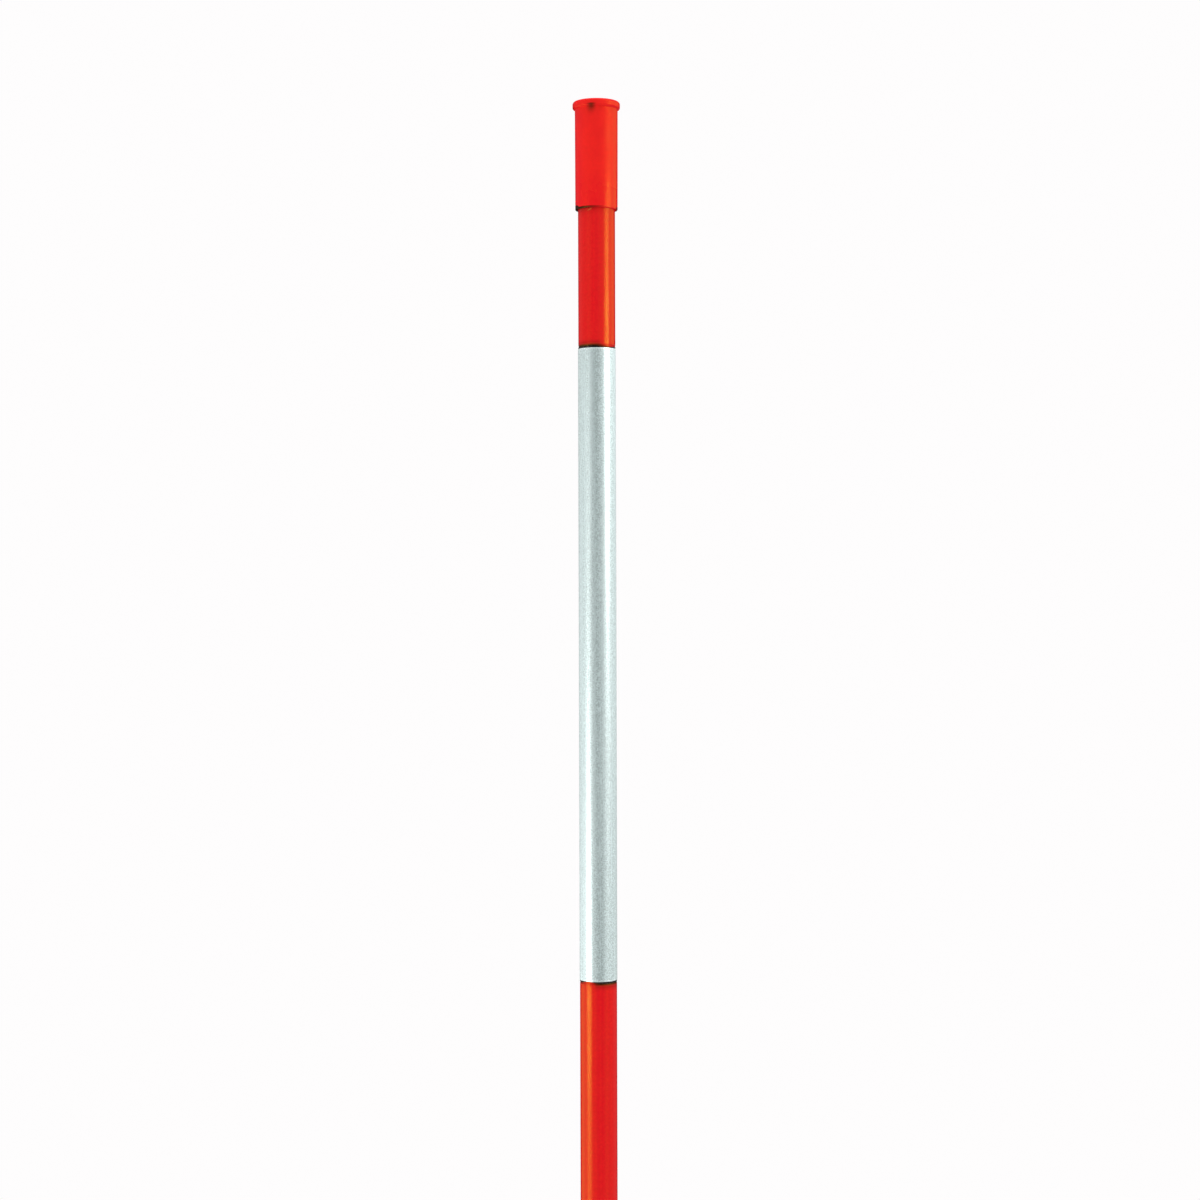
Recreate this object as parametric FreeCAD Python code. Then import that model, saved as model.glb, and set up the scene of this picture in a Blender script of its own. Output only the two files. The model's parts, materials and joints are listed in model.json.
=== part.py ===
"""Driveway snow marker: a fibreglass rod with a ground point, a reflective band and a push-on end cap.

The rod stands on its point at the origin and runs up +Z. The band's seam is at the back, +Y.
Every piece is a body of revolution about Z, so each one is an outline in (radius, height).
"""

import FreeCAD, Part
import math
import os

INCH = 25.4

# Driving dimensions, in millimetres.
ROD_LENGTH = 48.0 * INCH
ROD_RADIUS = 5.0 / 16.0 * INCH / 2.0

# The ground point is a blunt pencil point with a softened tip.
POINT_LENGTH = 22.0
POINT_TIP_RADIUS = 1.2
POINT_TIP_ROUND = 0.3

# The saw-cut top end has its edge broken, so that the cap starts easily.
TOP_CHAMFER = 0.4

# The push-on cap: a tapered skirt below a rim with rounded edges, closed at the top.
CAP_HEIGHT = 23.23
CAP_END_THICKNESS = 1.6
CAP_RIM_RADIUS = 5.09
CAP_RIM_HEIGHT = 1.6
CAP_RIM_TOP_ROUND = 0.6
CAP_RIM_BOTTOM_ROUND = 0.38
CAP_SKIRT_TOP_RADIUS = 4.60
CAP_SKIRT_MOUTH_RADIUS = 4.55
CAP_MOUTH_ROUND = 0.18
CAP_MOUTH_LEAD_IN = 0.2
CAP_CLEARANCE = 0.04

# The reflective band: film on a layer of adhesive, wrapped once round with a lapped seam.
CAP_TO_BAND = 29.78
BAND_LENGTH = 135.25
FILM_THICKNESS = 0.06
ADHESIVE_THICKNESS = 0.02
SEAM_LAP = 3.0

# A shallow ring groove in the rod at each end of the band. It has a floor beside the band, where
# the adhesive squeezes out, and then an arc that comes up smoothly to the rod's surface.
GROOVE_DEPTH = 0.12
GROOVE_FLOOR = 0.44
GROOVE_ARC_WIDTH = 0.5
SQUEEZE_OUT_WIDTH = 0.42

# Heights that follow from them.
CAP_TOP = ROD_LENGTH + CAP_END_THICKNESS
CAP_MOUTH = CAP_TOP - CAP_HEIGHT
BAND_TOP = CAP_MOUTH - CAP_TO_BAND
BAND_BOTTOM = BAND_TOP - BAND_LENGTH
GROOVE_WIDTH = GROOVE_FLOOR + GROOVE_ARC_WIDTH

ADHESIVE_RADIUS = ROD_RADIUS + ADHESIVE_THICKNESS
FILM_RADIUS = ADHESIVE_RADIUS + FILM_THICKNESS
LAP_RADIUS = FILM_RADIUS + FILM_THICKNESS


def point(radius, height):
    """A point of an outline, in the XZ plane."""
    return FreeCAD.Vector(radius, 0.0, height)


def line(start, end):
    return Part.LineSegment(point(*start), point(*end)).toShape()


def arc(start, centre, end):
    """The shorter circular arc from start to end about centre, all three as (radius, height)."""
    first = math.atan2(start[1] - centre[1], start[0] - centre[0])
    last = math.atan2(end[1] - centre[1], end[0] - centre[0])
    turn = (last - first + math.pi) % (2.0 * math.pi) - math.pi
    size = math.hypot(start[0] - centre[0], start[1] - centre[1])
    middle_angle = first + turn / 2.0
    middle = (centre[0] + size * math.cos(middle_angle), centre[1] + size * math.sin(middle_angle))
    return Part.Arc(point(*start), point(*middle), point(*end)).toShape()


def revolve(edges):
    """The solid of a closed outline turned once about Z."""
    face = Part.Face(Part.Wire(edges))
    return face.revolve(FreeCAD.Vector(0, 0, 0), FreeCAD.Vector(0, 0, 1), 360.0)


def ring(inner, outer, bottom, top):
    """A plain tube between two radii and two heights."""
    axis = FreeCAD.Vector(0, 0, 1)
    base = FreeCAD.Vector(0, 0, bottom)
    return Part.makeCylinder(outer, top - bottom, base, axis).cut(
        Part.makeCylinder(inner, top - bottom, base, axis)
    )


def groove_edges(band_edge, away):
    """The groove beside one end of the band, from the band's edge outwards. away is +1 up, -1 down."""
    floor_radius = ROD_RADIUS - GROOVE_DEPTH
    floor_end = band_edge + away * GROOVE_FLOOR
    arc_end = floor_end + away * GROOVE_ARC_WIDTH
    arc_radius = (GROOVE_ARC_WIDTH**2 + GROOVE_DEPTH**2) / (2.0 * GROOVE_DEPTH)
    arc_centre = (ROD_RADIUS - arc_radius, arc_end)
    return [
        line((ROD_RADIUS, band_edge), (floor_radius, band_edge)),
        line((floor_radius, band_edge), (floor_radius, floor_end)),
        arc((floor_radius, floor_end), arc_centre, (ROD_RADIUS, arc_end)),
    ]


def point_edges():
    """The ground point's outline: flat tip, rounded edge and cone."""
    slope = math.atan2(POINT_LENGTH, ROD_RADIUS - POINT_TIP_RADIUS)
    setback = POINT_TIP_ROUND * math.tan(slope / 2.0)
    flat_end = (POINT_TIP_RADIUS - setback, 0.0)
    cone_start = (
        POINT_TIP_RADIUS + setback * math.cos(slope),
        setback * math.sin(slope),
    )
    return [
        line((0.0, 0.0), flat_end),
        arc(flat_end, (flat_end[0], POINT_TIP_ROUND), cone_start),
        line(cone_start, (ROD_RADIUS, POINT_LENGTH)),
    ]


def fiberglass_rod():
    """One solid rod, with its ground point, the two ring grooves and the chamfered top."""
    upper_groove = groove_edges(BAND_TOP, 1.0)
    lower_groove = groove_edges(BAND_BOTTOM, -1.0)
    chamfer_start = (ROD_RADIUS, ROD_LENGTH - TOP_CHAMFER)
    top_corner = (ROD_RADIUS - TOP_CHAMFER, ROD_LENGTH)
    edges = point_edges()
    edges += [line((ROD_RADIUS, POINT_LENGTH), (ROD_RADIUS, BAND_BOTTOM - GROOVE_WIDTH))]
    edges += lower_groove
    edges += [line((ROD_RADIUS, BAND_BOTTOM), (ROD_RADIUS, BAND_TOP))]
    edges += upper_groove
    edges += [
        line((ROD_RADIUS, BAND_TOP + GROOVE_WIDTH), chamfer_start),
        line(chamfer_start, top_corner),
        line(top_corner, (0.0, ROD_LENGTH)),
        line((0.0, ROD_LENGTH), (0.0, 0.0)),
    ]
    return revolve(Part.sortEdges(edges)[0])


def squeeze_out(band_edge, away):
    """The bead of adhesive at one end of the band: a quarter-round on the groove's floor."""
    floor_radius = ROD_RADIUS - GROOVE_DEPTH
    outer_height = band_edge + away * SQUEEZE_OUT_WIDTH
    bead_height = ADHESIVE_RADIUS - floor_radius
    shoulder = (ADHESIVE_RADIUS, outer_height - away * bead_height)
    return revolve(
        [
            line((floor_radius, band_edge), (floor_radius, outer_height)),
            arc((floor_radius, outer_height), (floor_radius, shoulder[1]), shoulder),
            line(shoulder, (ADHESIVE_RADIUS, band_edge)),
            line((ADHESIVE_RADIUS, band_edge), (floor_radius, band_edge)),
        ]
    )


def band_adhesive():
    """The adhesive under the film, with a bead squeezed out at both ends."""
    layer = ring(ROD_RADIUS, ADHESIVE_RADIUS, BAND_BOTTOM, BAND_TOP)
    beads = [squeeze_out(BAND_TOP, 1.0), squeeze_out(BAND_BOTTOM, -1.0)]
    return layer.fuse(beads).removeSplitter()


def reflective_film():
    """The reflective film, once round the rod, with its end lapped over its start at the back."""
    wrap = ring(ADHESIVE_RADIUS, FILM_RADIUS, BAND_BOTTOM, BAND_TOP)
    lap_angle = math.degrees(SEAM_LAP / FILM_RADIUS)
    lap = Part.makeCylinder(
        LAP_RADIUS,
        BAND_LENGTH,
        FreeCAD.Vector(0, 0, BAND_BOTTOM),
        FreeCAD.Vector(0, 0, 1),
        lap_angle,
    )
    core = Part.makeCylinder(FILM_RADIUS, BAND_LENGTH, FreeCAD.Vector(0, 0, BAND_BOTTOM))
    lap = lap.cut(core)
    lap.rotate(FreeCAD.Vector(0, 0, 0), FreeCAD.Vector(0, 0, 1), 90.0 - lap_angle / 2.0)
    return wrap.fuse(lap).removeSplitter()


def end_cap():
    """The push-on cap: a rim with rounded edges, then the skirt. Its closed end rests on the rod's top."""
    bore_radius = ROD_RADIUS + CAP_CLEARANCE
    rim_bottom = CAP_TOP - CAP_RIM_HEIGHT
    top_arc_start = (CAP_RIM_RADIUS - CAP_RIM_TOP_ROUND, CAP_TOP)
    top_arc_end = (CAP_RIM_RADIUS, CAP_TOP - CAP_RIM_TOP_ROUND)
    under_arc_start = (CAP_RIM_RADIUS, rim_bottom + CAP_RIM_BOTTOM_ROUND)
    under_arc_end = (CAP_RIM_RADIUS - CAP_RIM_BOTTOM_ROUND, rim_bottom)
    mouth_arc_start = (CAP_SKIRT_MOUTH_RADIUS, CAP_MOUTH + CAP_MOUTH_ROUND)
    mouth_arc_end = (CAP_SKIRT_MOUTH_RADIUS - CAP_MOUTH_ROUND, CAP_MOUTH)
    lead_in_start = (bore_radius + CAP_MOUTH_LEAD_IN, CAP_MOUTH)
    lead_in_end = (bore_radius, CAP_MOUTH + CAP_MOUTH_LEAD_IN)
    return revolve(
        [
            line((0.0, CAP_TOP), top_arc_start),
            arc(top_arc_start, (top_arc_start[0], top_arc_end[1]), top_arc_end),
            line(top_arc_end, under_arc_start),
            arc(under_arc_start, (under_arc_end[0], under_arc_start[1]), under_arc_end),
            line(under_arc_end, (CAP_SKIRT_TOP_RADIUS, rim_bottom)),
            line((CAP_SKIRT_TOP_RADIUS, rim_bottom), mouth_arc_start),
            arc(mouth_arc_start, (mouth_arc_end[0], mouth_arc_start[1]), mouth_arc_end),
            line(mouth_arc_end, lead_in_start),
            line(lead_in_start, lead_in_end),
            line(lead_in_end, (bore_radius, ROD_LENGTH)),
            line((bore_radius, ROD_LENGTH), (0.0, ROD_LENGTH)),
            line((0.0, ROD_LENGTH), (0.0, CAP_TOP)),
        ]
    )


PIECES = {
    "fiberglass_rod": fiberglass_rod,
    "band_adhesive": band_adhesive,
    "reflective_film": reflective_film,
    "end_cap": end_cap,
}


def main():
    os.makedirs("parts", exist_ok=True)
    for name, build in PIECES.items():
        shape = build()
        shape.exportStep(f"parts/{name}.step")
        box = shape.optimalBoundingBox()
        print(f"{name}: valid {shape.isValid()}, solids {len(shape.Solids)}")
        print(f"  volume {shape.Volume:.2f} mm3, x {box.XMin:.3f} to {box.XMax:.3f}")
        print(f"  z {box.ZMin:.3f} to {box.ZMax:.3f}")


main()
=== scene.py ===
"""Looks of the driveway snow marker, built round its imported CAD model.

Lengths are in metres. The marker stands on its ground point at the origin and runs up +Z.
The front, -Y, faces the camera, and the band's lapped seam is at the back, +Y.
"""

import json
import math

import bmesh
import bpy
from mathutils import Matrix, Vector


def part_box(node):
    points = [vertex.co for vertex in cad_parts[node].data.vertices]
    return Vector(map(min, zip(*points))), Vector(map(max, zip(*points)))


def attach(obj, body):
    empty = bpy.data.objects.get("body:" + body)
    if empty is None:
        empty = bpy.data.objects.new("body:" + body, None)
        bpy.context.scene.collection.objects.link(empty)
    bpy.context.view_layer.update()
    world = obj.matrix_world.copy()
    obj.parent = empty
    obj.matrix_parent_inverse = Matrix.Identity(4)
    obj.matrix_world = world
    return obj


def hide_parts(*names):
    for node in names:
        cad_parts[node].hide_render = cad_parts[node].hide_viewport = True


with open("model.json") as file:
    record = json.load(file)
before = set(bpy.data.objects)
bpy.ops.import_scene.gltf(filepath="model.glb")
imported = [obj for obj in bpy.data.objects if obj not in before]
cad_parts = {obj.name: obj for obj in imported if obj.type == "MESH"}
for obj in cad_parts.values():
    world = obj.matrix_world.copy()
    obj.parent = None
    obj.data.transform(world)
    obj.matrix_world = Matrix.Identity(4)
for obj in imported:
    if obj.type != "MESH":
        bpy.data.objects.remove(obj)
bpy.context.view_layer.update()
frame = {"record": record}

MM = 0.001

# Sizes that the frame doesn't hold. Each one is the CAD model's own.
POINT_LENGTH = 22.0 * MM
POINT_TIP_RADIUS = 1.2 * MM
POINT_TIP_ROUND = 0.3 * MM
ROD_TOP_CHAMFER = 0.4 * MM
GROOVE_DEPTH = 0.12 * MM
GROOVE_FLOOR = 0.44 * MM
GROOVE_ARC_WIDTH = 0.5 * MM
ADHESIVE_THICKNESS = 0.02 * MM
FILM_THICKNESS = 0.06 * MM
SEAM_LAP = 3.0 * MM
SQUEEZE_OUT_WIDTH = 0.42 * MM
CAP_RIM_HEIGHT = 1.6 * MM
CAP_RIM_TOP_ROUND = 0.6 * MM
CAP_RIM_BOTTOM_ROUND = 0.38 * MM
CAP_SKIRT_TOP_RADIUS = 4.60 * MM
CAP_SKIRT_MOUTH_RADIUS = 4.55 * MM
CAP_MOUTH_ROUND = 0.18 * MM
CAP_MOUTH_LEAD_IN = 0.2 * MM
CAP_CLEARANCE = 0.04 * MM

# Sizes and places read from the frame.
ROD_RADIUS = frame["record"]["mounts"][0]["dims"]["r_mm"] * MM
ROD_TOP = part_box("fiberglass_rod")[1].z
BAND_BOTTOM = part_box("reflective_film")[0].z
BAND_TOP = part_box("reflective_film")[1].z
CAP_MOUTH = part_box("end_cap")[0].z
CAP_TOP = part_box("end_cap")[1].z
CAP_RIM_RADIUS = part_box("end_cap")[1].x
GROOVE_WIDTH = GROOVE_FLOOR + GROOVE_ARC_WIDTH
ADHESIVE_RADIUS = ROD_RADIUS + ADHESIVE_THICKNESS
CAP_RIM_BOTTOM = CAP_TOP - CAP_RIM_HEIGHT

# How finely the round pieces are divided, and how close a straight stretch's extra points are to its ends.
ROUND_SEGMENTS = 144
END_SPACING = 0.04 * MM

# The groove and its bead of adhesive nearly run out this far to the right of the front at the band's
# top end, and as far to the left at its bottom end, in degrees. The sharpness is a power of a cosine,
# and each loss is the share that is gone at the thinnest.
THIN_AZIMUTH = 32.0
THIN_SHARPNESS = 14
THIN_GROOVE_LOSS = 0.9
THIN_BEAD_LOSS = 0.92


# ---------------------------------------------------------------- mesh helpers


def arc_points(centre, radius, start, end, steps):
    """Points (radius, height) along an arc, both ends included. The angles are in degrees, 0 outwards."""
    points = []
    for i in range(steps + 1):
        angle = math.radians(start + (end - start) * i / steps)
        points.append((centre[0] + radius * math.cos(angle), centre[1] + radius * math.sin(angle)))
    return points


def straight(start, end, steps):
    """Points along a line, both ends included.

    Two more are close to the ends, so that the rounds beside it don't bend its shading.
    """
    close = END_SPACING / math.dist(start, end)
    shares = [0.0, close] + [i / steps for i in range(1, steps)] + [1.0 - close, 1.0]
    return [
        (start[0] + (end[0] - start[0]) * share, start[1] + (end[1] - start[1]) * share)
        for share in shares
    ]


def make_object(name, bm, sharp_angle):
    """Turns a bmesh into a shaded object, with edges sharper than the angle kept crisp."""
    bmesh.ops.remove_doubles(bm, verts=bm.verts, dist=1e-7)
    bmesh.ops.recalc_face_normals(bm, faces=bm.faces)
    mesh = bpy.data.meshes.new(name)
    bm.to_mesh(mesh)
    bm.free()
    mesh.polygons.foreach_set("use_smooth", [True] * len(mesh.polygons))
    mesh.set_sharp_from_angle(angle=math.radians(sharp_angle))
    obj = bpy.data.objects.new(name, mesh)
    bpy.context.scene.collection.objects.link(obj)
    return obj


def lathe(name, outline, closed, shift=None, sharp_angle=32.0):
    """A closed body of revolution about Z. outline is (radius, height) points, in order.

    closed joins its last point to its first; an open one starts and ends on the axis.
    shift(radius, height, angle) may return a point of its own for small unevenness.
    """
    bm = bmesh.new()
    rings = []
    for radius, height in outline:
        if radius < 1e-9:
            rings.append([bm.verts.new((0.0, 0.0, height))])
            continue
        ring = []
        for i in range(ROUND_SEGMENTS):
            angle = 2.0 * math.pi * i / ROUND_SEGMENTS
            r, z = shift(radius, height, angle) if shift else (radius, height)
            ring.append(bm.verts.new((r * math.cos(angle), r * math.sin(angle), z)))
        rings.append(ring)
    pairs = list(zip(rings, rings[1:]))
    if closed:
        pairs.append((rings[-1], rings[0]))
    for low, high in pairs:
        for i in range(ROUND_SEGMENTS):
            j = (i + 1) % ROUND_SEGMENTS
            corners = [low[i % len(low)], low[j % len(low)], high[j % len(high)], high[i % len(high)]]
            bm.faces.new(list(dict.fromkeys(corners)))
    return make_object(name, bm, sharp_angle)


# ---------------------------------------------------------------- the pieces


def thin_share(angle, side):
    """How thin the ring at one end of the band is at an angle about Z, 1 at its thinnest.

    side is +1 at the band's top end and -1 at its bottom end.
    """
    from_front = angle + math.radians(90.0)
    return max(math.cos(from_front - side * math.radians(THIN_AZIMUTH)), 0.0) ** THIN_SHARPNESS


def groove_outline(band_edge, away):
    """The groove's outline beside one end of the band, from the band's edge outwards."""
    floor_radius = ROD_RADIUS - GROOVE_DEPTH
    arc_radius = (GROOVE_ARC_WIDTH**2 + GROOVE_DEPTH**2) / (2.0 * GROOVE_DEPTH)
    arc_centre = (ROD_RADIUS - arc_radius, band_edge + away * GROOVE_WIDTH)
    start = -away * math.degrees(math.asin(GROOVE_ARC_WIDTH / arc_radius))
    return [
        (ROD_RADIUS, band_edge),
        (floor_radius, band_edge),
        *arc_points(arc_centre, arc_radius, start, 0.0, 8),
    ]


def make_rod():
    """The rod: blunt ground point, shank, the two ring grooves and the chamfered top."""
    slope = math.atan2(POINT_LENGTH, ROD_RADIUS - POINT_TIP_RADIUS)
    setback = POINT_TIP_ROUND * math.tan(slope / 2.0)
    tip_centre = (POINT_TIP_RADIUS - setback, POINT_TIP_ROUND)
    tip = arc_points(tip_centre, POINT_TIP_ROUND, -90.0, math.degrees(slope) - 90.0, 6)
    shank = (ROD_RADIUS, POINT_LENGTH), (ROD_RADIUS, BAND_BOTTOM - GROOVE_WIDTH)
    neck = (ROD_RADIUS, BAND_TOP + GROOVE_WIDTH), (ROD_RADIUS, ROD_TOP - ROD_TOP_CHAMFER)
    outline = [(0.0, 0.0)]
    outline += tip
    outline += straight(tip[-1], shank[0], 6)[1:]
    outline += straight(*shank, 30)[1:-1]
    outline += reversed(groove_outline(BAND_BOTTOM, -1.0))
    outline += straight((ROD_RADIUS, BAND_BOTTOM), (ROD_RADIUS, BAND_TOP), 6)[1:-1]
    outline += groove_outline(BAND_TOP, 1.0)
    outline += straight(*neck, 4)[1:]
    outline += [(ROD_RADIUS - ROD_TOP_CHAMFER, ROD_TOP), (0.0, ROD_TOP)]

    def shallower(radius, height, angle):
        """The grooves nearly run out at their thin spots."""
        for band_edge, side in ((BAND_TOP, 1.0), (BAND_BOTTOM, -1.0)):
            if abs(height - band_edge) < 1.01 * GROOVE_WIDTH:
                radius += THIN_GROOVE_LOSS * thin_share(angle, side) * (ROD_RADIUS - radius)
        return radius, height

    return lathe("rod", outline, closed=False, shift=shallower)


def make_adhesive():
    """The adhesive under the film, with an uneven bead squeezed out at both ends of the band."""
    floor_radius = ROD_RADIUS - GROOVE_DEPTH
    bead = ADHESIVE_RADIUS - floor_radius

    def uneven(radius, height, angle):
        """The bead creeps out by less here and there, least at its thin spot, and never by more."""
        beyond = max(height - BAND_TOP, BAND_BOTTOM - height, 0.0)
        if beyond == 0.0:
            return radius, height
        side = 1.0 if height > BAND_TOP else -1.0
        wave = 0.5 + 0.25 * math.sin(3.0 * angle + side) + 0.25 * math.sin(7.0 * angle + 2.0)
        share = (0.8 + 0.2 * wave) * (1.0 - THIN_BEAD_LOSS * thin_share(angle, side))
        return radius, height - side * beyond * (1.0 - share)

    def bead_outline(band_edge, away):
        """Round the bead, from the film's edge out and down to the groove's floor."""
        centre = (floor_radius, band_edge + away * (SQUEEZE_OUT_WIDTH - bead))
        return [
            (ADHESIVE_RADIUS, band_edge),
            *arc_points(centre, bead, 0.0, away * 90.0, 8),
            (floor_radius, band_edge),
            (ROD_RADIUS, band_edge),
        ]

    outline = bead_outline(BAND_TOP, 1.0) + list(reversed(bead_outline(BAND_BOTTOM, -1.0)))
    return lathe("band_adhesive_layer", outline, closed=True, shift=uneven)


def make_film():
    """The reflective film: a strip wrapped once round, its end lapped over its start at the back."""
    lap_angle = SEAM_LAP / (ADHESIVE_RADIUS + FILM_THICKNESS)
    start = math.radians(90.0) - lap_angle / 2.0
    total = 2.0 * math.pi + lap_angle
    steps = ROUND_SEGMENTS + 16
    lift_angle = 0.35
    edge_round = 0.02 * MM
    slack = 0.002 * MM

    def lift(turned):
        """How far the strip is lifted to pass over its own start."""
        share = min(max((turned - (2.0 * math.pi - lift_angle)) / lift_angle, 0.0), 1.0)
        return FILM_THICKNESS * share * share * (3.0 - 2.0 * share)

    bm = bmesh.new()
    sections = []
    for i in range(steps + 1):
        turned = total * i / steps
        angle = start + turned
        inner = ADHESIVE_RADIUS + slack + lift(turned)
        outer = ADHESIVE_RADIUS + FILM_THICKNESS + lift(turned)
        face = straight((outer, BAND_BOTTOM + edge_round), (outer, BAND_TOP - edge_round), 6)
        outline = [(inner, BAND_BOTTOM), (outer - edge_round, BAND_BOTTOM), *face]
        outline += [(outer - edge_round, BAND_TOP), (inner, BAND_TOP)]
        sections.append(
            [bm.verts.new((r * math.cos(angle), r * math.sin(angle), z)) for r, z in outline]
        )
    count = len(sections[0])
    for first, second in zip(sections, sections[1:]):
        for k in range(count):
            m = (k + 1) % count
            bm.faces.new([first[k], second[k], second[m], first[m]])
    bm.faces.new(sections[0])
    bm.faces.new(list(reversed(sections[-1])))
    return make_object("reflective_band", bm, 50.0)


def make_cap():
    """The push-on cap: rim, tapered skirt, rounded mouth, bore, and a gate mark on top."""
    bore = ROD_RADIUS + CAP_CLEARANCE
    rim_top_centre = (CAP_RIM_RADIUS - CAP_RIM_TOP_ROUND, CAP_TOP - CAP_RIM_TOP_ROUND)
    rim_bottom_centre = (CAP_RIM_RADIUS - CAP_RIM_BOTTOM_ROUND, CAP_RIM_BOTTOM + CAP_RIM_BOTTOM_ROUND)
    mouth_centre = (CAP_SKIRT_MOUTH_RADIUS - CAP_MOUTH_ROUND, CAP_MOUTH + CAP_MOUTH_ROUND)
    fillet = 0.1 * MM
    gate_radius = 0.55 * MM
    gate_depth = 0.3 * MM
    gate_lip = 0.4 * gate_depth
    nub_radius = 0.3 * MM
    dish_depth = 0.08 * MM
    dish = CAP_TOP - dish_depth
    outline = [
        (0.0, dish - gate_lip),
        (0.7 * nub_radius, dish - gate_lip),
        (nub_radius, dish - gate_depth),
        (0.8 * gate_radius, dish - gate_depth),
        (gate_radius, dish - gate_lip),
        (1.25 * gate_radius, dish),
    ]
    for share in (0.3, 0.5, 0.7, 0.85):
        outline.append((rim_top_centre[0] * share, CAP_TOP - dish_depth * (1.0 - share**4)))
    outline += arc_points(rim_top_centre, CAP_RIM_TOP_ROUND, 90.0, 0.0, 12)
    rim_side = (CAP_RIM_RADIUS, rim_top_centre[1]), (CAP_RIM_RADIUS, rim_bottom_centre[1])
    outline += straight(*rim_side, 1)[1:-1]
    outline += arc_points(rim_bottom_centre, CAP_RIM_BOTTOM_ROUND, 0.0, -90.0, 8)
    fillet_centre = (CAP_SKIRT_TOP_RADIUS + fillet, CAP_RIM_BOTTOM - fillet)
    outline += arc_points(fillet_centre, fillet, 90.0, 180.0, 6)
    outline += straight(outline[-1], (CAP_SKIRT_MOUTH_RADIUS, mouth_centre[1]), 24)[1:-1]
    outline += arc_points(mouth_centre, CAP_MOUTH_ROUND, 0.0, -90.0, 6)
    outline += [
        (bore + CAP_MOUTH_LEAD_IN, CAP_MOUTH),
        (bore, CAP_MOUTH + CAP_MOUTH_LEAD_IN),
        (bore, ROD_TOP),
        (0.0, ROD_TOP),
    ]

    def soft(radius, height, angle):
        """A soft moulded skirt isn't quite round: it gives inwards a few hundredths towards the mouth."""
        outside = radius > bore + CAP_MOUTH_LEAD_IN and height < CAP_RIM_BOTTOM
        if not outside:
            return radius, height
        share = (CAP_RIM_BOTTOM - height) / (CAP_RIM_BOTTOM - CAP_MOUTH)
        oval, lumpy = 0.010 * MM, 0.006 * MM
        give = oval * math.sin(2.0 * angle + 0.6) + lumpy * math.sin(5.0 * angle + 4.0 * share)
        return radius + (give - oval - lumpy) * share, height

    return lathe("end_cap_skin", outline, closed=False, shift=soft, sharp_angle=40.0)


# ---------------------------------------------------------------- node helpers


class Nodes:
    """A small builder for one node tree, of a material or of the world."""

    def __init__(self, tree):
        self.tree = tree
        self.tree.nodes.clear()
        self.coordinates = self.add("ShaderNodeTexCoord")

    def add(self, kind):
        return self.tree.nodes.new(kind)

    def use_place(self, output):
        """Sets which coordinates x, y, z and place mean."""
        self.place = self.coordinates.outputs[output]
        split = self.add("ShaderNodeSeparateXYZ")
        self.feed(split.inputs[0], self.place)
        self.x, self.y, self.z = split.outputs

    def feed(self, socket, value):
        """Links an output to a socket, or sets the socket to a constant."""
        if isinstance(value, bpy.types.NodeSocket):
            self.tree.links.new(value, socket)
        elif isinstance(value, (tuple, list)) and len(value) == 3 and socket.type == "RGBA":
            socket.default_value = (*value, 1.0)
        else:
            socket.default_value = value

    def math(self, operation, first, second=0.0):
        node = self.add("ShaderNodeMath")
        node.operation = operation
        self.feed(node.inputs[0], first)
        self.feed(node.inputs[1], second)
        return node.outputs[0]

    def times(self, *factors):
        product = factors[0]
        for factor in factors[1:]:
            product = self.math("MULTIPLY", product, factor)
        return product

    def ramp(self, value, low, high, low_value=0.0, high_value=1.0):
        """value from low to high becomes low_value to high_value, smoothly, and stays there beyond."""
        node = self.add("ShaderNodeMapRange")
        node.interpolation_type = "SMOOTHSTEP"
        for socket, part in zip(node.inputs, (value, low, high, low_value, high_value)):
            self.feed(socket, part)
        return node.outputs[0]

    def near(self, value, centre, half_width):
        """1 where value is at centre, falling to 0 a half width away."""
        away = self.math("ABSOLUTE", self.math("SUBTRACT", value, centre))
        return self.ramp(away, 0.0, half_width, 1.0, 0.0)

    def mix(self, share, first, second):
        """A colour, share of the way from first to second."""
        node = self.add("ShaderNodeMix")
        node.data_type = "RGBA"
        self.feed(node.inputs["Factor"], share)
        self.feed(node.inputs[6], first)
        self.feed(node.inputs[7], second)
        return node.outputs[2]

    def noise(self, per_metre, detail=2.0, roughness=0.5):
        """Noise with its own number of lumps per metre along X, Y and Z. Its value is about 0.5."""
        scaled = self.add("ShaderNodeVectorMath")
        scaled.operation = "MULTIPLY"
        self.feed(scaled.inputs[0], self.place)
        scaled.inputs[1].default_value = per_metre
        node = self.add("ShaderNodeTexNoise")
        node.inputs["Scale"].default_value = 1.0
        node.inputs["Detail"].default_value = detail
        node.inputs["Roughness"].default_value = roughness
        self.feed(node.inputs["Vector"], scaled.outputs[0])
        return node.outputs["Fac"]

    def bump(self, height, distance, below=None):
        """A normal pushed in and out by height, 0 to 1, over a distance in metres."""
        node = self.add("ShaderNodeBump")
        node.inputs["Strength"].default_value = 1.0
        node.inputs["Distance"].default_value = distance
        self.feed(node.inputs["Height"], height)
        if below is not None:
            self.feed(node.inputs["Normal"], below)
        return node.outputs[0]


class Surface(Nodes):
    """A material: a Principled shader, whose inputs are named as Blender names them."""

    def __init__(self, name):
        self.material = bpy.data.materials.new(name)
        self.material.use_nodes = True
        super().__init__(self.material.node_tree)
        self.use_place("Object")
        self.output = self.add("ShaderNodeOutputMaterial")
        self.shader = self.add("ShaderNodeBsdfPrincipled")
        self.feed(self.output.inputs["Surface"], self.shader.outputs["BSDF"])
        self.front = self.math("LESS_THAN", self.y, 0.0)

    def set(self, name, value):
        self.feed(self.shader.inputs[name], value)


# ---------------------------------------------------------------- materials


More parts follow.
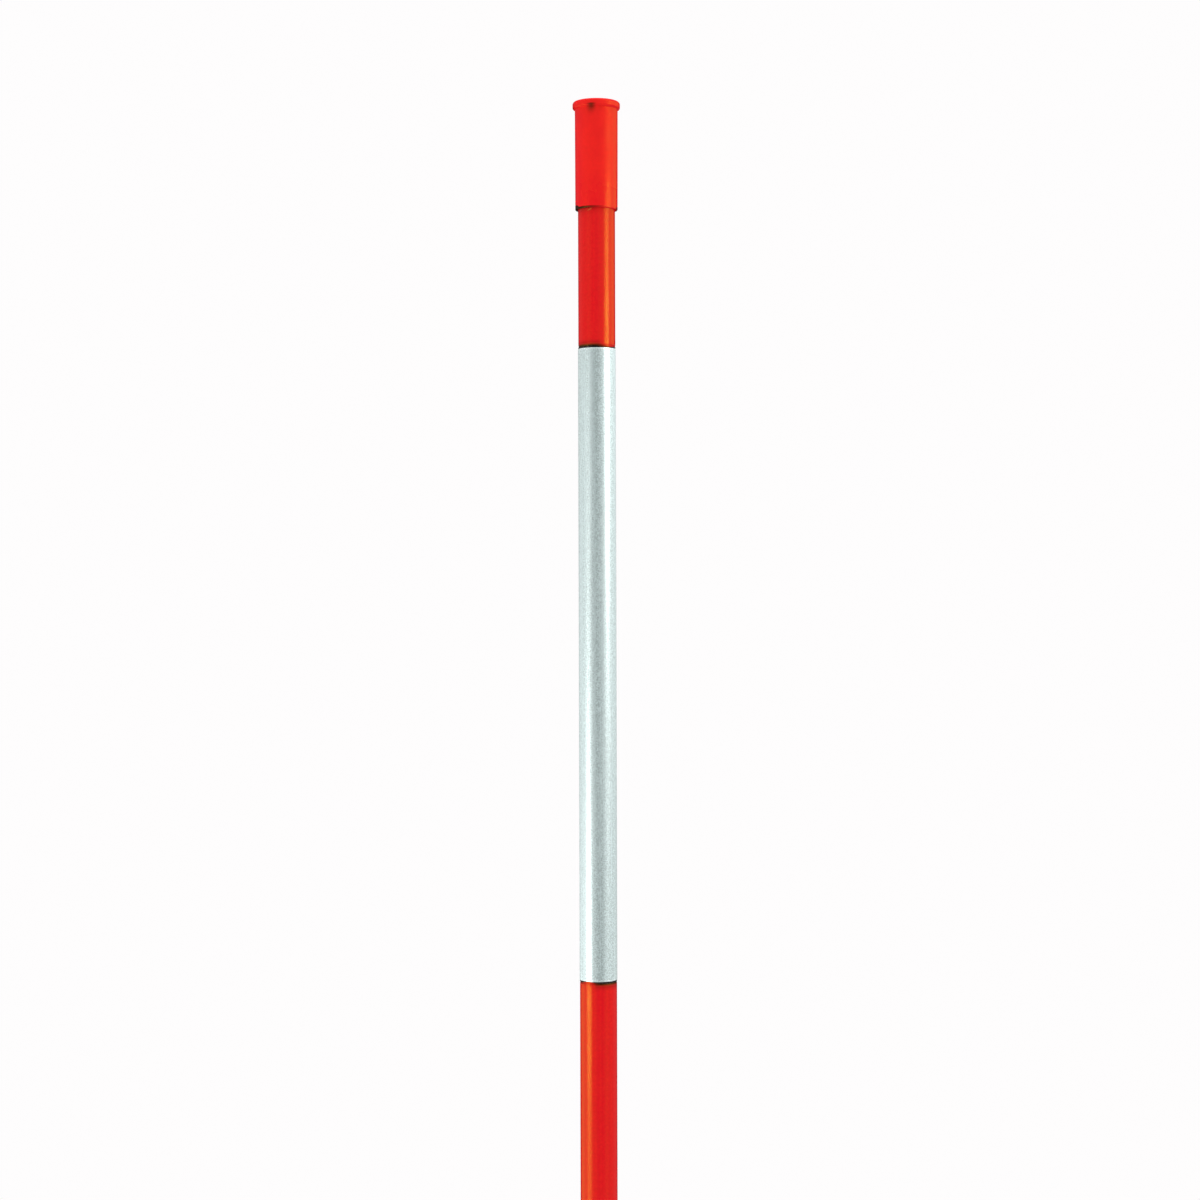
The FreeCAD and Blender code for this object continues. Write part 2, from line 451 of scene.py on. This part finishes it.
def rod_material():
    """Pultruded, pigmented resin: long streaks of fibre under a gloss skin, bare and matt where it is cut."""
    n = Surface("orange_pultruded_rod")
    streaks = n.noise((2400.0, 2400.0, 12.0), detail=3.0)
    broad = n.noise((420.0, 420.0, 8.0))
    mottle = n.noise((260.0, 260.0, 120.0), detail=3.0)
    streaked = n.mix(n.ramp(streaks, 0.32, 0.68), (0.83, 0.0075, 0.0188), (0.90, 0.0103, 0.0178))
    colour = n.mix(n.ramp(broad, 0.35, 0.65, 0.0, 0.6), streaked, (0.85, 0.0103, 0.0188))
    pigment = n.noise((1900.0, 1900.0, 1900.0))
    colour = n.mix(n.ramp(pigment, 0.35, 0.65, 0.0, 0.45), colour, (0.74, 0.0060, 0.0160))

    # Painted shade: near black in the grooves beside the band, and fainter a little way past them. The side
    # where the groove nearly runs out has hardly any: on the right at the top, on the left at the bottom.
    past_top = n.math("SUBTRACT", n.z, BAND_TOP)
    past_bottom = n.math("SUBTRACT", BAND_BOTTOM, n.z)
    past_band = n.math("MAXIMUM", past_top, past_bottom)
    upwards = n.ramp(past_top, -1.0 * MM, 1.0 * MM, -1.0, 1.0)
    sideways = n.times(n.x, upwards)
    thick_side = n.ramp(sideways, 0.2 * MM, 1.4 * MM, 1.0, 0.1)
    painted_shade_past_band = n.times(n.ramp(past_band, 0.5 * MM, 2.2 * MM, 0.6, 0.0), thick_side)
    colour = n.mix(painted_shade_past_band, colour, (0.20, 0.004, 0.008))
    painted_shade_in_groove = n.ramp(past_band, 0.5 * GROOVE_WIDTH, GROOVE_WIDTH, 0.95, 0.0)
    thin_x = ROD_RADIUS * math.sin(math.radians(THIN_AZIMUTH))
    thin = n.times(n.near(sideways, thin_x, 2.5 * MM), n.front)
    not_thin = n.math("SUBTRACT", 1.0, thin)
    colour = n.mix(n.times(painted_shade_in_groove, not_thin), colour, (0.012, 0.003, 0.003))

    # A little painted shadow of the cap on the rod just under its mouth, most of it on the left.
    left = n.ramp(n.x, -3.6 * MM, 1.6 * MM, 1.0, 0.0)
    below_mouth = n.math("SUBTRACT", CAP_MOUTH, n.z)
    painted_shadow_under_cap = n.times(n.ramp(below_mouth, 0.1 * MM, 1.5 * MM, 0.18, 0.0), left)
    colour = n.mix(painted_shadow_under_cap, colour, (0.10, 0.004, 0.008))

    # A chip just under the cap's mouth, down to bare glass fibre.
    chip_line = n.math("SUBTRACT", n.z, n.times(n.x, 0.5))
    on_line = n.near(chip_line, CAP_MOUTH + 0.42 * MM, 0.24 * MM)
    chip = n.times(n.near(n.x, -1.45 * MM, 0.8 * MM), on_line, n.front)
    colour = n.mix(n.ramp(chip, 0.2, 0.6, 0.0, 0.7), colour, (0.72, 0.15, 0.045))

    # The ground point and the saw-cut top: no gloss skin, with the pale fibre ends showing.
    point = n.ramp(n.z, POINT_LENGTH - 0.4 * MM, POINT_LENGTH + 0.2 * MM, 1.0, 0.0)
    top = n.math("GREATER_THAN", n.z, ROD_TOP - 1.05 * ROD_TOP_CHAMFER)
    cut = n.math("MAXIMUM", point, top)
    fibres = n.noise((5200.0, 5200.0, 260.0), detail=3.0, roughness=0.6)
    bare = n.mix(n.ramp(fibres, 0.42, 0.62), (0.52, 0.030, 0.018), (0.78, 0.30, 0.15))
    n.set("Base Color", n.mix(cut, colour, bare))

    dull = n.times(n.ramp(past_band, 0.8 * GROOVE_WIDTH, 1.3 * GROOVE_WIDTH, 0.32, 0.0), not_thin)
    dull = n.math("MAXIMUM", dull, n.times(cut, 0.5))
    n.set("Roughness", n.math("ADD", n.ramp(mottle, 0.3, 0.75, 0.13, 0.20), dull))
    n.set("Specular IOR Level", 0.27)
    n.set("Specular Tint", (1.0, 1.0, 0.04))

    skin = n.bump(streaks, 0.002 * MM)
    peel = n.bump(n.noise((500.0, 500.0, 60.0)), 0.004 * MM, below=skin)
    n.set("Normal", n.bump(n.times(fibres, cut), 0.12 * MM, below=peel))
    return n.material


def cap_material():
    """Soft moulded vinyl: satin, faintly mottled, with painted shade under the rim and along the mouth."""
    n = Surface("red_vinyl")
    mottle = n.noise((420.0, 420.0, 260.0), detail=3.0)
    grain = n.noise((7000.0, 7000.0, 7000.0))
    colour = n.mix(n.ramp(mottle, 0.3, 0.7), (0.91, 0.0042, 0.0190), (0.98, 0.0061, 0.0190))
    pigment = n.noise((1500.0, 1500.0, 1500.0))
    colour = n.mix(n.ramp(pigment, 0.35, 0.65, 0.0, 0.3), colour, (0.86, 0.0040, 0.0150))

    # A spot of painted shade, for the shadow under the rim, that starts on the rim's lower edge and fades
    # down the skirt.
    spot_top = CAP_RIM_BOTTOM + 0.62 * MM
    below_spot_top = n.ramp(n.z, spot_top - 0.2 * MM, spot_top, 1.0, 0.0)
    fading = n.ramp(n.z, spot_top - 3.4 * MM, spot_top - 0.1 * MM)
    painted_shade_spot = n.times(below_spot_top, fading, fading, n.near(n.x, -1.08 * MM, 1.3 * MM), n.front)
    colour = n.mix(n.times(painted_shade_spot, 0.9), colour, (0.08, 0.004, 0.006))

    # A trace of painted shade in the corner under the rim, only at its left end.
    painted_shade_under_rim = n.near(n.z, CAP_RIM_BOTTOM, 0.35 * MM)
    most_left = n.ramp(n.x, -5.0 * MM, -4.6 * MM, 0.8, 0.0)
    colour = n.mix(n.times(painted_shade_under_rim, most_left), colour, (0.10, 0.003, 0.005))

    # A line of painted shade along the mouth, where the cap meets the rod: black on the left and tallest at
    # that end, fading to the right, with a dark corner at the right end.
    left_end = n.ramp(n.x, -4.3 * MM, -3.6 * MM, 1.0, 0.0)
    right_end = n.ramp(n.x, 3.95 * MM, 4.4 * MM)
    ends = n.math("MAXIMUM", left_end, right_end)
    tall = n.times(ends, n.ramp(n.x, -1.0 * MM, 1.0 * MM, 0.48 * MM, 0.1 * MM))
    line_top = n.math("ADD", CAP_MOUTH + 0.40 * MM, tall)
    below_line_top = n.ramp(n.math("SUBTRACT", n.z, line_top), -0.07 * MM, 0.07 * MM, 1.0, 0.0)
    along = n.ramp(n.x, -3.4 * MM, 3.4 * MM, 0.98, 0.05)
    painted_shade_line = n.times(below_line_top, n.math("MAXIMUM", along, n.times(ends, 0.75)))
    colour = n.mix(painted_shade_line, colour, (0.012, 0.003, 0.004))
    n.set("Base Color", colour)
    worn = n.ramp(n.z, CAP_MOUTH, CAP_MOUTH + 12.0 * MM, 0.13, 0.0)
    n.set("Roughness", n.math("SUBTRACT", n.ramp(mottle, 0.25, 0.75, 0.33, 0.42), worn))
    n.set("Specular IOR Level", 0.27)
    n.set("Specular Tint", (1.0, 1.0, 0.04))
    soft = n.bump(n.noise((160.0, 160.0, 70.0), detail=0.0), 0.012 * MM)
    n.set("Normal", n.bump(grain, 0.001 * MM, below=soft))
    return n.material


def film_material():
    """Glass-bead reflective film: silvery, finely speckled, with a painted highlight along its cut edges."""
    n = Surface("silver_bead_film")
    beads = n.noise((3600.0, 3600.0, 4200.0), roughness=0.7)
    streaks = n.noise((1300.0, 1300.0, 10.0))
    speckle = n.ramp(beads, 0.43, 0.57)
    silver = n.mix(speckle, (0.55, 0.66, 0.655), (0.705, 0.84, 0.835))
    colour = n.mix(n.ramp(streaks, 0.4, 0.65, 0.0, 0.35), silver, (0.71, 0.84, 0.835))
    above_bottom = n.math("SUBTRACT", n.z, BAND_BOTTOM)
    below_top = n.math("SUBTRACT", BAND_TOP, n.z)
    inside_edge = n.math("MINIMUM", above_bottom, below_top)
    # A painted highlight along both edges, where the rounded edge would catch the light.
    colour = n.mix(n.ramp(inside_edge, 0.12 * MM, 0.5 * MM, 0.7, 0.0), colour, (0.84, 0.97, 0.96))
    n.set("Base Color", colour)
    n.set("Metallic", n.ramp(beads, 0.42, 0.58, 0.44, 0.28))
    n.set("Roughness", n.ramp(streaks, 0.35, 0.7, 0.26, 0.29))
    n.set("Sheen Weight", 0.25)
    n.set("Sheen Roughness", 0.4)
    n.set("Normal", n.bump(beads, 0.001 * MM))
    return n.material


def adhesive_material():
    """The bead of adhesive at the band's ends: glossy, faintly mottled, and near black as painted shade of
    the dark rings there.
    """
    n = Surface("dark_adhesive")
    adhesive_mottle = n.noise((1800.0, 1800.0, 1800.0), detail=3.0)
    # Near black: painted shade of the dark rings at the band's ends.
    n.set("Base Color", n.mix(n.ramp(adhesive_mottle, 0.35, 0.65), (0.006, 0.005, 0.005), (0.03, 0.007, 0.006)))
    n.set("Roughness", n.ramp(adhesive_mottle, 0.3, 0.7, 0.2, 0.4))
    n.set("Normal", n.bump(adhesive_mottle, 0.02 * MM))
    return n.material


# ---------------------------------------------------------------- stage, light and camera


def make_floor():
    """A pale round floor under the point, which fades out into the white round it."""
    floor_radius = 2.6
    fade_start, fade_end = 0.3, 2.2
    bm = bmesh.new()
    bmesh.ops.create_circle(bm, cap_ends=True, segments=128, radius=floor_radius)
    mesh = bpy.data.meshes.new("floor")
    bm.to_mesh(mesh)
    bm.free()
    floor = bpy.data.objects.new("floor", mesh)
    bpy.context.scene.collection.objects.link(floor)
    n = Surface("pale_floor")
    grain = n.noise((60.0, 60.0, 60.0), detail=4.0)
    n.set("Base Color", n.mix(grain, (0.87, 0.87, 0.865), (0.90, 0.90, 0.895)))
    n.set("Roughness", 0.6)
    n.set("Specular IOR Level", 0.2)
    clear = n.add("ShaderNodeBsdfTransparent")
    fade = n.add("ShaderNodeMixShader")
    reach = n.math("SQRT", n.math("ADD", n.times(n.x, n.x), n.times(n.y, n.y)))
    n.feed(fade.inputs[0], n.ramp(reach, fade_start, fade_end))
    n.feed(fade.inputs[1], n.shader.outputs[0])
    n.feed(fade.inputs[2], clear.outputs[0])
    n.feed(n.output.inputs["Surface"], fade.outputs[0])
    mesh.materials.append(n.material)


# What the marker's gloss reflects at each azimuth, in degrees from the front and positive to the
# right: a dark gap to the left of the camera, a bright side on the right and a dull one on the left.
STUDIO = (
    (-180.0, 0.02),
    (-150.0, 0.10),
    (-115.0, 0.33),
    (-80.0, 0.32),
    (-64.0, 0.34),
    (-53.0, 0.55),
    (-42.0, 0.35),
    (-30.0, 0.02),
    (-3.0, 0.02),
    (22.0, 0.35),
    (42.0, 0.80),
    (75.0, 0.92),
    (100.0, 0.50),
    (125.0, 0.10),
    (150.0, 0.02),
    (180.0, 0.02),
)
# The hot strip on that bright side: its azimuth in the upper half and in the lower, and its half width,
# in degrees, then its radiance at the middle slope, where it is brightest, and far from the middle.
STRIP_AZIMUTH_UP = 65.0
STRIP_AZIMUTH_DOWN = 60.0
STRIP_HALF_WIDTH = 22.0
STRIP_MIDDLE = 0.8
STRIP_BRIGHTEST = 15.0
STRIP_FAR = 3.0
# The slope of a line of sight at which the studio changes over to its mirror image, and how far below
# and above that slope the change starts and ends.
MIDDLE_SLOPE = -0.028
CHANGEOVER = (-0.07, 0.05)
# How far from the middle slope the strip starts to brighten, is brightest, and is down to its far level.
STRIP_SLOPES = (0.08, 0.14, 0.176)


def studio_brightness(n, azimuth, away, strip_azimuth):
    """The studio's brightness at an azimuth in radians, and away from its middle slope."""
    brightest = max(level for _, level in STUDIO)
    stops = n.add("ShaderNodeValToRGB")
    stops.color_ramp.interpolation = "EASE"
    elements = stops.color_ramp.elements
    for element in list(elements)[1:]:
        elements.remove(element)
    for index, (degrees, level) in enumerate(STUDIO):
        place = (degrees + 180.0) / 360.0
        element = elements[0] if index == 0 else elements.new(place)
        element.position = place
        element.color = (*[level / brightest] * 3, 1.0)
    turn = n.math("ADD", n.math("DIVIDE", azimuth, 2.0 * math.pi), 0.5)
    n.feed(stops.inputs[0], turn)
    off_strip = n.math("ABSOLUTE", n.math("SUBTRACT", azimuth, math.radians(strip_azimuth)))
    edge = math.radians(STRIP_HALF_WIDTH)
    strip = n.ramp(off_strip, 0.3 * edge, edge, 1.0, 0.0)
    start, brightest_slope, end = STRIP_SLOPES
    rising = n.ramp(away, start, brightest_slope, STRIP_MIDDLE, STRIP_BRIGHTEST)
    falling = n.ramp(away, brightest_slope, end, 1.0, STRIP_FAR / STRIP_BRIGHTEST)
    radiance = n.times(rising, falling)
    return n.math("ADD", n.times(stops.outputs[0], brightest), n.times(strip, radiance))


def make_world():
    """White for the camera, an even light for matt surfaces, and a studio for gloss to reflect.

    The studio's upper half is mirrored left to right in its lower half.
    """
    world = bpy.data.worlds.new("studio")
    bpy.context.scene.world = world
    world.use_nodes = True
    n = Nodes(world.node_tree)
    n.use_place("Generated")
    output = n.add("ShaderNodeOutputWorld")
    seen = n.add("ShaderNodeBackground")
    n.feed(seen.inputs["Color"], (0.99, 0.98, 0.982))
    even = n.add("ShaderNodeBackground")
    n.feed(even.inputs["Color"], n.ramp(n.y, -0.6, 0.9, 0.80, 0.52))
    reflected = n.add("ShaderNodeBackground")
    azimuth = n.math("ARCTAN2", n.x, n.times(n.y, -1.0))
    n.feed(reflected.inputs["Color"], (1.0, 0.94, 0.925))
    slope = n.math("SUBTRACT", n.z, MIDDLE_SLOPE)
    away = n.math("ABSOLUTE", slope)
    upper = studio_brightness(n, azimuth, away, STRIP_AZIMUTH_UP)
    lower = studio_brightness(n, n.times(azimuth, -1.0), away, STRIP_AZIMUTH_DOWN)
    share = n.ramp(slope, *CHANGEOVER)
    both = n.math("ADD", n.times(upper, share), n.times(lower, n.math("SUBTRACT", 1.0, share)))
    n.feed(reflected.inputs["Strength"], both)
    path = n.add("ShaderNodeLightPath")
    for_gloss = n.add("ShaderNodeMixShader")
    n.feed(for_gloss.inputs[0], path.outputs["Is Glossy Ray"])
    n.feed(for_gloss.inputs[1], even.outputs[0])
    n.feed(for_gloss.inputs[2], reflected.outputs[0])
    for_camera = n.add("ShaderNodeMixShader")
    n.feed(for_camera.inputs[0], path.outputs["Is Camera Ray"])
    n.feed(for_camera.inputs[1], for_gloss.outputs[0])
    n.feed(for_camera.inputs[2], seen.outputs[0])
    n.feed(output.inputs["Surface"], for_camera.outputs[0])


def soft_light(name, azimuth, distance, height, size, power, aim_height, colour=(1.0, 1.0, 1.0)):
    """A softbox, aimed at the marker's axis. azimuth is in degrees from the front, positive towards +X.

    size is its width and height. Neither the camera nor gloss sees it, unless the caller changes that.
    """
    data = bpy.data.lights.new(name, "AREA")
    data.shape = "RECTANGLE"
    data.size, data.size_y = size
    data.energy = power
    data.color = colour
    light = bpy.data.objects.new(name, data)
    bpy.context.scene.collection.objects.link(light)
    angle = math.radians(azimuth)
    light.location = (distance * math.sin(angle), -distance * math.cos(angle), height)
    aim = Vector((0.0, 0.0, aim_height))
    light.rotation_euler = (aim - light.location).to_track_quat("-Z", "Y").to_euler()
    light.visible_camera = False
    light.visible_glossy = False
    return light


def light_only(light, pieces):
    """Makes a light fall on some pieces only."""
    group = bpy.data.collections.new(light.name + "_lights")
    for piece in pieces:
        group.objects.link(piece)
    light.light_linking.receiver_collection = group


def make_camera():
    """Level but for a trace of roll, at the height of the band, and in front of the marker's top end."""
    view_height = 0.2577
    distance = 0.5
    eye_height = CAP_TOP - 0.10686
    side_step = 0.00053
    roll = 0.155
    data = bpy.data.cameras.new("camera")
    data.sensor_width = 36.0
    data.lens = data.sensor_width * distance / view_height
    data.clip_start = 0.01
    data.clip_end = 50.0
    camera = bpy.data.objects.new("camera", data)
    bpy.context.scene.collection.objects.link(camera)
    camera.location = (side_step, -distance, eye_height)
    camera.rotation_euler = (math.radians(90.0), math.radians(roll), 0.0)
    bpy.context.scene.camera = camera


def make_lights(orange_pieces, film):
    """A warm side for the orange pieces, a plain one for the film, and two lights for everything.

    Each side is on the right above the middle of the band and on the left below it.
    """
    side_azimuth = 98.0
    band_middle = 1.1
    warm_colour = (0.86, 0.9, 0.08)
    for name, side, warm_height, film_height in (("high", 1.0, 1.38, 1.40), ("low", -1.0, 0.84, 0.80)):
        azimuth = side * side_azimuth
        warm = soft_light(
            f"warm_{name}", azimuth, 0.6, warm_height, (0.9, 0.4), 1.1, band_middle, warm_colour
        )
        warm.visible_glossy = True
        light_only(warm, orange_pieces)
        plain = soft_light(f"film_{name}", azimuth, 0.25, film_height, (0.2, 0.2), 2.1, band_middle)
        light_only(plain, [film])
    soft_light("overhead", 0.0, 0.05, 3.0, (1.6, 1.6), 22.0, 0.0)
    soft_light("behind", 170.0, 2.0, 1.2, (1.4, 1.4), 8.0, 0.6)


def main():
    scene = bpy.context.scene
    scene.view_settings.view_transform = "Standard"
    make_camera()
    make_world()
    make_floor()
    looks = [
        (make_rod(), rod_material(), "stake", "fiberglass_rod", "orange_rod"),
        (make_adhesive(), adhesive_material(), "stake", "band_adhesive", "dark_adhesive"),
        (make_film(), film_material(), "stake", "reflective_film", "silver_reflective_film"),
        (make_cap(), cap_material(), "cap", "end_cap", "red_vinyl_cap"),
    ]
    for piece, material, body, node, slot in looks:
        piece.data.materials.append(material)
        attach(piece, body)
        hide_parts(node)
    rod, _, film, cap = (look[0] for look in looks)
    make_lights([rod, cap], film)


main()
